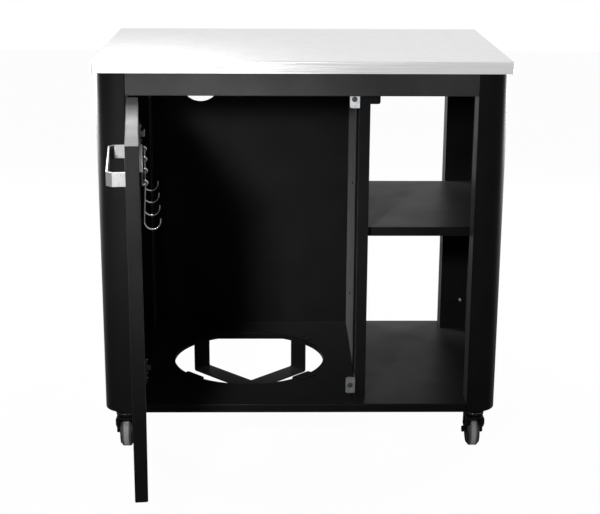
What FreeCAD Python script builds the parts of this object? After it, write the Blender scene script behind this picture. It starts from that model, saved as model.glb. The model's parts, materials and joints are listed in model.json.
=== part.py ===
"""Grill cart with a gas bottle cupboard and two open shelf bays, as a FreeCAD document.

Lengths are millimetres and angles degrees.  X runs along the front, Y into the depth and Z up.
Cupboard parts are drawn about the worktop's centre, door parts about the hinge pins with the
door shut, and caster parts about their swivel.  Each sub-part's Placement brings it to its place.
"""
import FreeCAD, Part
import os
import re
import Sketcher
from FreeCAD import Vector

SIZES = [
    # worktop: a folded pan with a hem that lies on the cupboard
    ("top_width", 900), ("top_depth", 600), ("top_height", 900), ("top_skirt", 26),
    ("top_sheet", 1.5), ("top_corner", 5), ("top_fold", 3), ("top_hem", 20),
    ("stiffener_width", 60), ("stiffener_spacing", 260), ("stiffener_inset", 45),
    # cupboard shell: side sheets rolled round four corner columns
    ("side_overhang", 3), ("end_overhang", 6), ("sheet", 1.5), ("fold", 2.5),
    ("corner_radius", 50), ("column_width", 69), ("column_depth", 60), ("foot_sheet", 3),
    ("seam", 0.5), ("rail_height", 49),
    # floor tray with the bottle hole and its cradle of two crossed straps
    ("tray_depth", 20), ("lip_return", 20), ("hole_setback", 17), ("hole_radius", 184),
    ("collar_depth", 12), ("channel_gap", 0.5),
    ("strap_width", 50), ("strap_thick", 3), ("strap_drop", 81.5), ("strap_play", 6.5),
    ("tab_length", 30.5), ("strap_bend", 3), ("tab_corner", 8),
    # back panel with the hose hole
    ("back_inset", 4), ("back_flange", 20), ("hose_inset", 128), ("hose_drop", 59), ("hose_radius", 50),
    # divider, its front post and the post's brackets
    ("divider_thick", 17), ("post_width", 24), ("post_depth", 22),
    ("bracket_reach", 17), ("bracket_height", 24), ("bracket_sheet", 2),
    ("bracket_width", 21.5), ("bracket_drop", 22.5), ("bracket_round", 5),
    # middle shelf
    ("shelf_rise", 400), ("shelf_lip", 20), ("shelf_gap", 2), ("support_leg", 20),
    ("support_setback", 30),
    # magnetic catches on the post
    ("catch_width", 21.5), ("catch_height", 39), ("catch_round", 5), ("catch_rise", 24.5),
    ("catch_drop", 10.5), ("magnet_radius", 6), ("magnet_thick", 1.2), ("catch_gap", 0.4),
    # door
    ("door_width", 525), ("door_lap", 1), ("door_top_gap", 5), ("door_bottom_gap", 11),
    ("skin_depth", 22), ("liner_depth", 3), ("liner_inset", 0.4), ("door_gap", 2.5),
    ("door_fold", 2), ("axis_side", 4), ("axis_depth", 4.5), ("open_angle", 84.25),
    # hinges
    ("hinge_inset", 80), ("hinge_height", 60), ("ear_thick", 3), ("pin_radius", 1.5),
    ("pin_play", 0.05), ("knuckle_radius", 2.7), ("knuckle_play", 0.3), ("leaf_play", 0.5),
    ("leaf_length", 46), ("leaf_setback", 6), ("plate_length", 36), ("plate_thick", 4),
    ("housing_margin", 2), ("housing_length", 26), ("housing_depth", 9), ("housing_rise", 2),
    ("housing_height", 12), ("housing_round", 2),
    # handle: a bent strip
    ("handle_length", 251), ("handle_height", 26), ("handle_thick", 3), ("handle_reach", 35),
    ("handle_chamfer", 11), ("handle_inset", 15), ("handle_drop", 63.5),
    ("backing_depth", 6.5),
    # hook rail and hooks
    ("rod_radius", 2), ("rod_length", 344), ("rod_inset", 96.5), ("rod_drop", 90),
    ("rod_reach", 10), ("rod_bend", 6), ("hook_wire", 1.8), ("eye_wire", 2), ("hook_play", 0.3),
    ("hook_drop", 90), ("hook_bow", 15.1), ("hook_tip", 6), ("hook_inset", 14.5),
    ("hook_tilt", 2.8),
    # casters
    ("caster_side_inset", 47), ("caster_end_inset", 28), ("trail", 22), ("head_radius", 21.7),
    ("head_height", 16), ("head_edge", 3), ("head_rim", 12), ("head_neck", 17),
    ("stem_radius", 5), ("stem_length", 16), ("swivel_play", 0.3), ("king_radius", 4),
    ("king_head_radius", 6.5), ("king_head_thick", 1.5), ("crown_thick", 4.5),
    ("crown_depth", 44), ("crown_round", 4), ("crown_skirt", 11), ("fork_gap", 30),
    ("fork_sheet", 2.5), ("leg_end", 14),
    ("knee_rise", 16.5), ("axle_radius", 4), ("axle_head_radius", 6.5), ("axle_head_length", 6.5),
    ("wheel_radius", 37.5), ("wheel_gap", 4.2), ("tread_width", 22), ("tyre_thick", 6.5),
    ("tyre_bevel", 2.5), ("hub_play", 0.5), ("hub_boss", 8), ("disc_width", 16),
    ("hub_rim", 5), ("hub_slope", 2),
]

PLACES = {
    # caster levels, from the floor up to the cupboard's underside
    "crown_bottom": "2 * wheel_radius + wheel_gap",
    "crown_top": "crown_bottom + crown_thick",
    "head_bottom": "crown_top + swivel_play",
    "body_bottom": "head_bottom + head_height",
    # cupboard planes and levels
    "body_x": "top_width / 2 - side_overhang",
    "body_y": "top_depth / 2 - end_overhang",
    "body_top": "top_height - top_skirt",
    "column_x": "body_x - column_width",
    "column_y": "body_y - column_depth",
    "skin_x": "body_x - sheet",
    "skin_y": "body_y - sheet",
    "bay_x": "column_x - seam",
    "bay_y": "column_y - seam",
    "rail_bottom": "body_top - rail_height",
    "floor_top": "body_bottom + tray_depth",
    "floor_under": "floor_top - sheet",
    "back_y": "body_y - back_inset",
    "caster_x": "body_x - caster_side_inset",
    "caster_y": "body_y - caster_end_inset",
    # where the hinge pins stand; the shut door laps the divider's edge
    "hinge_x": "axis_side + door_gap - column_x",
    "hinge_y": "axis_depth - body_y",
    "divider_right": "hinge_x + door_right - door_lap",
    "divider_left": "divider_right - divider_thick",
    "post_left": "divider_right - post_width",
    "post_front": "column_y + post_depth",
    "shelf_top": "floor_top + shelf_rise",
    # the bottle hole is in the middle of its bay
    "hole_x": "(divider_left - bay_x) / 2",
    "strap_reach": "hole_radius - strap_play",
    # floor channels fill the room between the hole's collar and the tray's folded lips
    "channel_inner": "hole_setback + hole_radius + sheet + channel_gap",
    "channel_outer": "body_y - lip_return - channel_gap",
    "hose_x": "hose_inset - column_x",
    "hose_z": "rail_bottom - hose_drop",
    # door, shut, about the hinge pins
    "door_face": "-axis_depth",
    "door_left": "-axis_side",
    "door_right": "door_width - axis_side",
    "door_bottom": "floor_top + door_bottom_gap",
    "door_top": "rail_bottom - door_top_gap",
    "skin_back": "skin_depth - axis_depth",
    "liner_back": "skin_back + liner_depth",
    "notch_x": "knuckle_radius + pin_play + seam",
    "handle_z": "door_top - handle_drop",
    "rod_left": "rod_inset - axis_side",
    "rod_y": "liner_back + rod_reach",
    "rod_z": "door_top - rod_drop",
    # how far the open door reaches in front of the pins
    "door_corner": "door_fold * (sin(open_angle) + cos(open_angle) - 1)",
    "door_reach": "door_right * sin(open_angle) + axis_depth * cos(open_angle) - door_corner",
    # the origin lies below the middle of the whole outline, open door included
    "centre_y": "(door_reach - hinge_y - top_depth / 2) / 2",
    # magnets stop just short of the shut door
    "magnet_front": "hinge_y + liner_back + catch_gap",
    "catch_front": "magnet_front + magnet_thick",
    "catch_low": "door_bottom + catch_rise",
    "catch_high": "rail_bottom - catch_drop",
    # hinge and hook details
    "hinge_low": "door_bottom + hinge_inset",
    "hinge_high": "door_top - hinge_inset",
    "pin_hole": "pin_radius + pin_play",
    "knuckle_height": "hinge_height - 2 * (ear_thick + knuckle_play)",
    "leaf_thick": "door_gap - leaf_play",
    "hook_loop": "rod_radius + hook_play + eye_wire",
    "hook_stem": "hook_drop - hook_bow - hook_wire",
    "hook_pitch": "(rod_length - 2 * hook_inset) / 3",
    # caster details
    "leg_in": "fork_gap / 2",
    "leg_out": "fork_gap / 2 + fork_sheet",
    "hub_radius": "wheel_radius - tyre_thick",
}

doc = FreeCAD.newDocument("grill_cart")
sizes = doc.addObject("Spreadsheet::Sheet", "sizes")
finished = []


def fill_sheet():
    for row, (name, size) in enumerate(SIZES, 1):
        sizes.set("A%d" % row, name)
        sizes.set("B%d" % row, str(size))
        sizes.setAlias("B%d" % row, name)
    doc.recompute()


def formula(text):
    """Spell a size formula out as an expression on the sheet's cells."""
    names = dict(SIZES)

    def spell(match):
        word = match.group()
        if word in names:
            return "sizes." + word
        return "(" + formula(PLACES[word]) + ")" if word in PLACES else word
    return re.sub(r"[a-z_]+", spell, str(text))


def number(text):
    return float(sizes.evalExpression(formula(text)))


# ---- frames -------------------------------------------------------------------------------

def frame(x="0", y="0", z="0", turn="0", roll="0"):
    """A place in the row's frame: a point measured from the worktop's centre, and a heading."""
    point = "vector(%s; %s + centre_y; %s)" % (x, y, z)
    heading = "rotation(vector(0; 0; 1); %s) * rotation(vector(1; 0; 0); %s)" % (turn, roll)
    return "placement(%s; %s)" % (point, heading)


CUPBOARD = frame()
DOOR = frame("hinge_x", "hinge_y", "0", "-open_angle")


def on_door(x, y, z, roll="0"):
    return DOOR + " * placement(vector(%s; %s; %s); rotation(vector(1; 0; 0); %s))" % (x, y, z, roll)


def new_body(name, place=CUPBOARD):
    body = doc.addObject("PartDesign::Body", name)
    body.Label = name
    body.setExpression("Placement", formula(place))
    return body


def finish(part):
    finished.append(part)
    return part


def group(name, members):
    doc.recompute()
    compound = doc.addObject("Part::Compound", name)
    compound.Label = name
    compound.Links = members
    return finish(compound)


# ---- sketches and features ----------------------------------------------------------------

def box(x0, y0, x1, y1):
    return [(x0, y0), (x1, y0), (x1, y1), (x0, y1)]


def add_outline(sketch, corners):
    """Straight-sided loop whose corners are held by the size formulas."""
    points = [Vector(number(across), number(up), 0) for across, up in corners]
    first = sketch.GeometryCount
    count = len(points)
    for index in range(count):
        sketch.addGeometry(Part.LineSegment(points[index], points[(index + 1) % count]))
    for index in range(count):
        after = first + (index + 1) % count
        sketch.addConstraint(Sketcher.Constraint("Coincident", first + index, 2, after, 1))
    for index, corner in enumerate(corners):
        hold_point(sketch, first + index, 1, corner, points[index])


def add_circle(sketch, across, up, radius):
    centre = Vector(number(across), number(up), 0)
    circle = sketch.addGeometry(Part.Circle(centre, Vector(0, 0, 1), number(radius)))
    hold_point(sketch, circle, 3, (across, up), centre)
    hold = sketch.addConstraint(Sketcher.Constraint("Radius", circle, number(radius)))
    sketch.setExpression("Constraints[%d]" % hold, formula(radius))


def hold_point(sketch, item, end, formulas, point):
    for kind, text, now in zip(("DistanceX", "DistanceY"), formulas, (point.x, point.y)):
        hold = sketch.addConstraint(Sketcher.Constraint(kind, -1, 1, item, end, now))
        sketch.setExpression("Constraints[%d]" % hold, formula(text))


def draw(body, plane, level, outlines=(), circles=(), shift=("0", "0")):
    """Sketch on a plane across X, Y or Z; level is where that plane lies on its axis."""
    sketch = body.newObject("Sketcher::SketchObject", body.Name + "_sketch")
    support = next(item for item in body.Origin.OriginFeatures if item.Role == plane + "_Plane")
    sketch.AttachmentSupport = (support, [""])
    sketch.MapMode = "FlatFace"
    facing = "-(%s)" if plane == "XZ" else "%s"
    sketch.setExpression("AttachmentOffset.Base.x", formula(shift[0]))
    sketch.setExpression("AttachmentOffset.Base.y", formula(shift[1]))
    sketch.setExpression("AttachmentOffset.Base.z", formula(facing % level))
    for corners in outlines:
        add_outline(sketch, corners)
    for circle in circles:
        add_circle(sketch, *circle)
    return sketch


def pad(body, plane, level, length, outlines=(), circles=()):
    """Solid that grows from its sketch towards +X or +Z, and on plane XZ towards -Y."""
    feature = body.newObject("PartDesign::Pad", body.Name + "_pad")
    feature.Profile = draw(body, plane, level, outlines, circles)
    feature.setExpression("Length", formula(length))
    return feature


def cut(body, plane, level, length, outlines=(), circles=()):
    """Pocket over the same stretch that pad would fill."""
    doc.recompute()
    before = body.Shape.Volume
    sketch = draw(body, plane, level, outlines, circles)
    feature = body.newObject("PartDesign::Pocket", body.Name + "_pocket")
    feature.Profile = sketch
    feature.Reversed = True
    feature.setExpression("Length", formula(length))
    doc.recompute()
    if not body.Shape.Volume < before:
        raise RuntimeError("the pocket in %s cuts nothing" % body.Label)
    return feature


def turned(body, sketch, axis="V_Axis", angle=360, backwards=False):
    feature = body.newObject("PartDesign::Revolution", body.Name + "_turned")
    feature.Profile = sketch
    feature.ReferenceAxis = (sketch, [axis])
    feature.Angle = angle
    feature.Reversed = backwards
    return feature


def rounded(body, radius, wanted):
    """Fillet on every edge of the body's last feature that the test picks."""
    doc.recompute()
    base = body.Tip
    names = ["Edge%d" % index for index, edge in enumerate(base.Shape.Edges, 1) if wanted(edge)]
    if not names:
        raise RuntimeError("no edge to round in %s" % body.Label)
    feature = body.newObject("PartDesign::Fillet", body.Name + "_fillet")
    feature.Base = (base, names)
    feature.setExpression("Radius", formula(radius))
    return feature


def close(one, other):
    return abs(one - other) < 1e-4


def along(edge, axis, **places):
    """True for a straight edge along an axis whose other coordinates have the given sizes."""
    start, end = edge.firstVertex().Point, edge.lastVertex().Point
    if edge.Curve.TypeId != "Part::GeomLine":
        return False
    if not close(abs(getattr(end - start, axis)), edge.Length):
        return False
    return all(close(getattr(start, name), value) for name, value in places.items())


def mirrored_along(edge, axis, **places):
    """As along, for edges on either side of the middle."""
    start = edge.firstVertex().Point
    if not along(edge, axis):
        return False
    return all(close(abs(getattr(start, name)), value) for name, value in places.items())


# ---- worktop ------------------------------------------------------------------------------

def make_worktop():
    body = new_body("worktop")

    def reach(inset, corner):
        """Rectangle drawn in from the edge, its corners cut off by a leg."""
        x, y = "(top_width / 2 - %s)" % inset, "(top_depth / 2 - %s)" % inset
        quarter = [(x, "%s - %s" % (y, corner)), ("%s - %s" % (x, corner), y)]
        half = quarter + [("-(%s)" % across, up) for across, up in reversed(quarter)]
        return half + [("-(%s)" % across, "-(%s)" % up) for across, up in half]
    half_x, half_y = "top_width / 2", "top_depth / 2"
    pad(body, "XY", "body_top", "top_skirt", [box("-" + half_x, "-" + half_y, half_x, half_y)])
    end_x, end_y = number(half_x), number(half_y)
    rounded(body, "top_corner", lambda edge: mirrored_along(edge, "z", x=end_x, y=end_y))
    top = number("top_height")
    rounded(body, "top_fold", lambda edge: close(edge.BoundBox.ZMin, top))
    cut(body, "XY", "body_top", "top_skirt - top_sheet", [reach("top_hem", "top_corner")])
    cut(body, "XY", "body_top + top_sheet", "top_skirt - 2 * top_sheet",
        [reach("top_sheet", "top_corner")])
    return finish(body)


def make_stiffener(side):
    """Channel glued under the top, with its open side up."""
    body = new_body("stiffener_%s" % ("front" if side < 0 else "rear"))
    middle = "%d * stiffener_spacing / 2" % side
    low, high = "body_top + 2 * top_sheet", "top_height - top_sheet"
    near, far = "%s - stiffener_width / 2" % middle, "%s + stiffener_width / 2" % middle
    section = [(near, low), (far, low), (far, high), (far + " - top_sheet", high),
               (far + " - top_sheet", low + " + top_sheet"),
               (near + " + top_sheet", low + " + top_sheet"),
               (near + " + top_sheet", high), (near, high)]
    reach = "(top_width / 2 - stiffener_inset)"
    pad(body, "YZ", "-" + reach, "2 * " + reach, [section])
    return body


# ---- cupboard shell -----------------------------------------------------------------------

def make_side_shell(name, side):
    """One sheet: front return, rolled corner, side, rolled corner and rear return."""
    body = new_body(name)

    def at(x, y):
        return ("%d * (%s)" % (side, x), y)
    outline = [at("column_x", "-(column_y + sheet)"), at("column_x", "-body_y"),
               at("body_x", "-body_y"), at("body_x", "body_y"), at("column_x", "body_y"),
               at("column_x", "column_y + sheet"), at("column_x + sheet", "column_y + sheet"),
               at("column_x + sheet", "skin_y"), at("skin_x", "skin_y"),
               at("skin_x", "-skin_y"), at("column_x + sheet", "-skin_y"),
               at("column_x + sheet", "-(column_y + sheet)")]
    pad(body, "XY", "body_bottom", "body_top - body_bottom", [outline])
    for radius, x, y in (("corner_radius", "body_x", "body_y"),
                         ("corner_radius - sheet", "skin_x", "skin_y"),
                         ("fold", "column_x", "body_y"),
                         ("fold - sheet", "column_x + sheet", "skin_y")):
        at_x, at_y = number(x), number(y)
        rounded(body, radius, lambda edge: mirrored_along(edge, "z", x=at_x, y=at_y))
    return finish(body)


def make_column_liner(name, side, end):
    """Sheet that closes a corner column towards the bay, folded under it as the caster's seat."""
    body = new_body(name)

    def at(x, y):
        return ("%d * (%s)" % (side, x), "%d * (%s)" % (end, y))
    wall = [at("column_x", "column_y"), at("skin_x", "column_y"),
            at("skin_x", "column_y + sheet"), at("column_x", "column_y + sheet")]
    pad(body, "XY", "body_bottom", "body_top - body_bottom", [wall])
    near, far, back = "column_x + sheet + seam", "skin_x - seam", "skin_y - seam"
    foot = [at(near, "column_y"), at(far, "column_y"), at(far, back), at(near, back)]
    pad(body, "XY", "body_bottom", "foot_sheet", [foot])
    at_x, at_y = number(far), number(back)
    rounded(body, "corner_radius - sheet - seam",
            lambda edge: mirrored_along(edge, "z", x=at_x, y=at_y))
    stem = (*at("caster_x", "caster_y"), "stem_radius + pin_play")
    cut(body, "XY", "body_bottom", "foot_sheet", circles=[stem])
    return finish(body)


def make_rail(name, end):
    """Channel between two columns, just under the worktop."""
    body = new_body(name)

    def at(y, z):
        return ("%d * (%s)" % (end, y), z)
    section = [at("body_y", "rail_bottom"), at("body_y", "body_top"),
               at("column_y", "body_top"), at("column_y", "body_top - sheet"),
               at("skin_y", "body_top - sheet"), at("skin_y", "rail_bottom + sheet"),
               at("column_y", "rail_bottom + sheet"), at("column_y", "rail_bottom")]
    pad(body, "YZ", "-bay_x", "2 * bay_x", [section])
    front, back = number("body_y"), number("skin_y")
    rounded(body, "fold", lambda edge: mirrored_along(edge, "x", y=front))
    rounded(body, "fold - sheet", lambda edge: mirrored_along(edge, "x", y=back))
    return finish(body)


# ---- floor and bottle cradle --------------------------------------------------------------

def make_floor_tray():
    """Cross-shaped tray between the columns, with a collared hole for the gas bottle."""
    body = new_body("floor_tray")
    side_x = "(skin_x - seam)"
    cross = [("-" + side_x, "-bay_y"), ("-bay_x", "-bay_y"), ("-bay_x", "-body_y"),
             ("bay_x", "-body_y"), ("bay_x", "-bay_y"), (side_x, "-bay_y"),
             (side_x, "bay_y"), ("bay_x", "bay_y"), ("bay_x", "body_y"),
             ("-bay_x", "body_y"), ("-bay_x", "bay_y"), ("-" + side_x, "bay_y")]
    pad(body, "XY", "floor_under", "sheet", [cross])
    lips = [box("-bay_x", "-body_y", "bay_x", "-skin_y"), box("-bay_x", "skin_y", "bay_x", "body_y"),
            box("-" + side_x, "-bay_y", "sheet - " + side_x, "bay_y"),
            box(side_x + " - sheet", "-bay_y", side_x, "bay_y")]
    pad(body, "XY", "body_bottom", "floor_under - body_bottom", lips)
    returns = [box("-bay_x", "-body_y", "bay_x", "lip_return - body_y"),
               box("-bay_x", "body_y - lip_return", "bay_x", "body_y")]
    pad(body, "XY", "body_bottom", "sheet", returns)
    hole = ("hole_x", "hole_setback", "hole_radius")
    collar = ("hole_x", "hole_setback", "hole_radius + sheet")
    pad(body, "XY", "floor_top - collar_depth", "collar_depth - sheet", circles=[collar, hole])
    cut(body, "XY", "floor_under", "sheet", circles=[hole])
    front, top = number("body_y"), number("floor_top")
    rounded(body, "fold", lambda edge: mirrored_along(edge, "x", y=front, z=top))
    radius = number("hole_radius")
    rounded(body, "fold", lambda edge: close(edge.BoundBox.ZMin, top)
            and edge.Curve.TypeId == "Part::GeomCircle" and close(edge.Curve.Radius, radius))
    return finish(body)


def make_floor_channel(name, end):
    """Stiffening channel under the tray, its open side up."""
    body = new_body(name)
    near, far = "channel_inner", "channel_outer"

    def at(y, z):
        return ("%d * (%s)" % (end, y), z)
    section = [at(near, "body_bottom"), at(far, "body_bottom"), at(far, "floor_under"),
               at(far + " - sheet", "floor_under"), at(far + " - sheet", "body_bottom + sheet"),
               at(near + " + sheet", "body_bottom + sheet"), at(near + " + sheet", "floor_under"),
               at(near, "floor_under")]
    pad(body, "YZ", "-bay_x", "2 * bay_x", [section])
    return finish(body)


def make_cradle_strap(name, turn, lift):
    """Flat bar that hangs through the bottle hole by a tab at each end."""
    body = new_body(name, frame("hole_x", "hole_setback", "0", turn))
    outer, inner = "strap_reach", "(strap_reach - strap_thick)"
    tab, floor, upper = "(strap_reach + tab_length)", "floor_top", "floor_top + strap_thick"
    low = "(floor_top - strap_drop + %s)" % lift
    bar = low + " + strap_thick"
    bend = [(outer, floor), (outer, low)]
    section = ([("-" + tab, floor), ("-" + tab, upper), ("-" + inner, upper), ("-" + inner, bar),
                (inner, bar), (inner, upper), (tab, upper), (tab, floor)]
               + bend + [("-" + x, z) for x, z in reversed(bend)])
    pad(body, "XZ", "strap_width / 2", "strap_width", [section])
    for radius, x, z in (("strap_bend", outer, floor), ("strap_bend", inner, bar),
                         ("strap_bend + strap_thick", outer, low),
                         ("strap_bend + strap_thick", inner, upper)):
        at_x, at_z = number(x), number(z)
        rounded(body, radius, lambda edge: mirrored_along(edge, "y", x=at_x, z=at_z))
    end_x, side_y = number(tab), number("strap_width / 2")
    rounded(body, "tab_corner", lambda edge: mirrored_along(edge, "z", x=end_x, y=side_y))
    return finish(body)


# ---- back panel, divider, post and shelf --------------------------------------------------

def make_back_panel():
    """Sheet with the hose hole; its left edge is folded forward along the corner column."""
    body = new_body("back_panel")
    pad(body, "XZ", "back_y", "sheet", [box("-bay_x", "floor_top", "divider_right", "rail_bottom")])
    pad(body, "XZ", "back_y - sheet", "back_flange - sheet",
        [box("-bay_x", "floor_top", "sheet - bay_x", "rail_bottom")])
    cut(body, "XZ", "back_y", "sheet", circles=[("hose_x", "hose_z", "hose_radius")])
    return finish(body)


def divider_outline(wall):
    """Side view of the divider, drawn in by a wall; its rear top corner clears the rail."""
    near, far, notch = ("%s - bay_y" % wall, "back_y - sheet - %s" % wall, "bay_y - %s" % wall)
    low, step, high = ("floor_top + %s" % wall, "rail_bottom - %s" % wall,
                       "body_top - %s" % wall)
    return [(near, low), (far, low), (far, step), (notch, step), (notch, high), (near, high)]


def make_divider_panel():
    body = new_body("divider_panel")
    pad(body, "YZ", "divider_left", "divider_thick - sheet", [divider_outline("0")])
    cut(body, "YZ", "divider_left + sheet", "divider_thick - 2 * sheet", [divider_outline("sheet")])
    return finish(body)


def make_divider_cover():
    body = new_body("divider_cover")
    pad(body, "YZ", "divider_right - sheet", "sheet", [divider_outline("0")])
    return finish(body)


def make_divider_post():
    body = new_body("divider_post")
    outer = box("post_left", "-post_front", "divider_right", "-column_y")
    inner = box("post_left + sheet", "sheet - post_front", "divider_right - sheet",
                "-column_y - sheet")
    pad(body, "XY", "floor_top", "rail_bottom - floor_top", [outer, inner])
    left, right = number("post_left"), number("divider_right")
    front, back = number("-post_front"), number("-column_y")
    rounded(body, "sheet", lambda edge: any(along(edge, "z", x=x, y=y)
                                            for x in (left, right) for y in (front, back)))
    return finish(body)


def make_post_foot(name):
    """Small angle inside the post that ties it to the floor."""
    body = new_body(name)

    def at(x, z):
        return ("divider_right - sheet - " + x, "floor_top + " + z)
    section = [at("0", "0"), at("bracket_reach", "0"), at("bracket_reach", "bracket_sheet"),
               at("bracket_sheet", "bracket_sheet"), at("bracket_sheet", "bracket_height"),
               at("0", "bracket_height")]
    pad(body, "XZ", "-column_y - sheet - seam", "post_depth - 2 * (sheet + seam)", [section])
    return body


def make_post_tab(name):
    """Angle on the post's right side, its front plate just under the rail."""
    body = new_body(name)
    right, low = "divider_right + bracket_width", "rail_bottom - seam - bracket_drop"
    section = [("divider_right", "-post_front"), (right, "-post_front"),
               (right, "bracket_sheet - post_front"),
               ("divider_right + bracket_sheet", "bracket_sheet - post_front"),
               ("divider_right + bracket_sheet", "-column_y - sheet"),
               ("divider_right", "-column_y - sheet")]
    pad(body, "XY", low, "bracket_drop", [section])
    at_x, at_z = number(right), number(low)
    rounded(body, "bracket_round", lambda edge: along(edge, "y", x=at_x, z=at_z))
    return body


def make_shelf():
    """Tray between the divider and the right side, open underneath."""
    body = new_body("middle_shelf")
    left, right = "(divider_right + shelf_gap)", "(skin_x - seam)"
    low = "shelf_top - shelf_lip"
    pad(body, "XY", low, "shelf_lip", [box(left, "-bay_y", right, "bay_y")])
    hollow = box(left + " + sheet", "sheet - bay_y", right + " - sheet", "bay_y - sheet")
    cut(body, "XY", low, "shelf_lip - sheet", [hollow])
    front, top = number("bay_y"), number("shelf_top")
    rounded(body, "fold", lambda edge: mirrored_along(edge, "x", y=front, z=top))
    return finish(body)


def make_shelf_support(name, wall, inward):
    """Angle along the wall, under the shelf's edge."""
    body = new_body(name)
    top, leg = "(shelf_top - shelf_lip)", "support_leg"

    def at(x, down):
        return ("%s + %d * %s" % (wall, inward, x), "%s - %s" % (top, down))
    section = [at("0", "0"), at(leg, "0"), at(leg, "sheet"), at("sheet", "sheet"),
               at("sheet", leg), at("0", leg)]
    reach = "(bay_y - support_setback)"
    pad(body, "XZ", reach, "2 * " + reach, [section])
    return body


# ---- catches ------------------------------------------------------------------------------

def make_catch_bracket(name, low, high):
    """Angle on the post's side; its front plate faces the shut door."""
    body = new_body(name)
    left = "(post_left - catch_width)"
    section = [(left, "catch_front"), ("post_left", "catch_front"), ("post_left", "-column_y - sheet"),
               ("post_left - sheet", "-column_y - sheet"), ("post_left - sheet", "catch_front + sheet"),
               (left, "catch_front + sheet")]
    pad(body, "XY", low, "%s - (%s)" % (high, low), [section])
    edge_x = number(left)
    rounded(body, "catch_round", lambda edge: along(edge, "y", x=edge_x))
    return finish(body)


def make_magnet(name, level):
    body = new_body(name)
    disc = ("post_left - (catch_width + sheet) / 2", level, "magnet_radius")
    pad(body, "XZ", "catch_front", "magnet_thick", circles=[disc])
    return body


# ---- door ---------------------------------------------------------------------------------

def hinge_notches(body, depth):
    """Clear the door's hinge edge for the knuckles, behind the outer skin."""
    for middle in ("hinge_low", "hinge_high"):
        notch = box("door_left - seam", "door_face + sheet", "notch_x", depth)
        cut(body, "XY", middle + " - hinge_height / 2 - seam", "hinge_height + 2 * seam", [notch])


def make_door_skin():
    """Outer pan of the door."""
    body = new_body("door_skin", DOOR)

    def inset(size):
        return box("door_left + " + size, "door_bottom + " + size,
                   "door_right - " + size, "door_top - " + size)
    pad(body, "XZ", "skin_back", "skin_depth", [inset("0")])
    face = number("door_face")
    rounded(body, "door_fold", lambda edge: close(edge.BoundBox.YMin, face)
            and close(edge.BoundBox.YMax, face))
    cut(body, "XZ", "skin_back", "skin_depth - sheet", [inset("sheet")])
    hinge_notches(body, "skin_back")
    return finish(body)


def make_door_liner():
    """Inner sheet with a folded rim that closes the pan."""
    body = new_body("door_liner", DOOR)

    def inset(size):
        size = "(liner_inset + %s)" % size
        return box("door_left + " + size, "door_bottom + " + size,
                   "door_right - " + size, "door_top - " + size)
    pad(body, "XZ", "liner_back", "liner_depth", [inset("0")])
    back = number("liner_back")
    rounded(body, "sheet", lambda edge: close(edge.BoundBox.YMin, back)
            and close(edge.BoundBox.YMax, back))
    cut(body, "XZ", "liner_back - sheet", "liner_depth - sheet", [inset("sheet")])
    hinge_notches(body, "liner_back + seam")
    return finish(body)


def make_handle():
    """Strip bent to a bar with slanted corners, standing on the door's face."""
    body = new_body("door_handle", DOOR)
    end, out = "(door_right - handle_inset)", "(door_face - handle_reach)"
    start, miter = "(%s - handle_length)" % end, "tan(22.5) * handle_thick"
    slant, thick = "handle_chamfer", "handle_thick"
    outer = [(start, "door_face"), (start, "%s + %s" % (out, slant)),
             ("%s + %s" % (start, slant), out), ("%s - %s" % (end, slant), out),
             (end, "%s + %s" % (out, slant)), (end, "door_face")]
    inner_y, turn_y = "%s + %s" % (out, thick), "%s + %s + %s" % (out, slant, miter)
    inner = [("%s - %s" % (end, thick), "door_face"), ("%s - %s" % (end, thick), turn_y),
             ("%s - %s - %s" % (end, slant, miter), inner_y),
             ("%s + %s + %s" % (start, slant, miter), inner_y),
             ("%s + %s" % (start, thick), turn_y), ("%s + %s" % (start, thick), "door_face")]
    pad(body, "XY", "handle_z - handle_height / 2", "handle_height", [outer + inner])
    return finish(body)


def make_handle_backing():
    """Folded strip on the door's inner face, behind the handle, that covers its fixings."""
    body = new_body("handle_backing", DOOR)
    end, half = "(door_right - handle_inset - %s)", "(handle_height / 2 - %s)"
    start = "(door_right - handle_inset - handle_length + %s)"

    def inset(size):
        return box(start % size, "handle_z - " + half % size, end % size, "handle_z + " + half % size)
    pad(body, "XZ", "liner_back + backing_depth", "backing_depth", [inset("0")])
    cut(body, "XZ", "liner_back + backing_depth - sheet", "backing_depth - sheet", [inset("sheet")])
    return finish(body)


# ---- hinges -------------------------------------------------------------------------------

def make_cabinet_leaf(name, level):
    """Fixed leaf: a knuckle round the pin, an arm round the door's edge and a plate on the column."""
    body = new_body(name, frame("hinge_x", "hinge_y", level))
    wall = "-(axis_side + door_gap)"
    plate, half = wall + " + leaf_thick", "leaf_thick / 2"
    bend, back = "leaf_setback + leaf_thick", "leaf_setback + leaf_length"
    arm = [(half, "0"), (half, bend), (plate, bend), (plate, back), (wall, back),
           (wall, "leaf_setback"), ("-" + half, "leaf_setback"), ("-" + half, "0")]
    pad(body, "XY", "-knuckle_height / 2", "knuckle_height", [arm])
    pad(body, "XY", "-knuckle_height / 2", "knuckle_height", circles=[("0", "0", "knuckle_radius")])
    cut(body, "XY", "-knuckle_height / 2", "knuckle_height",
        circles=[("0", "0", "pin_hole")])
    return finish(body)


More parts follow.
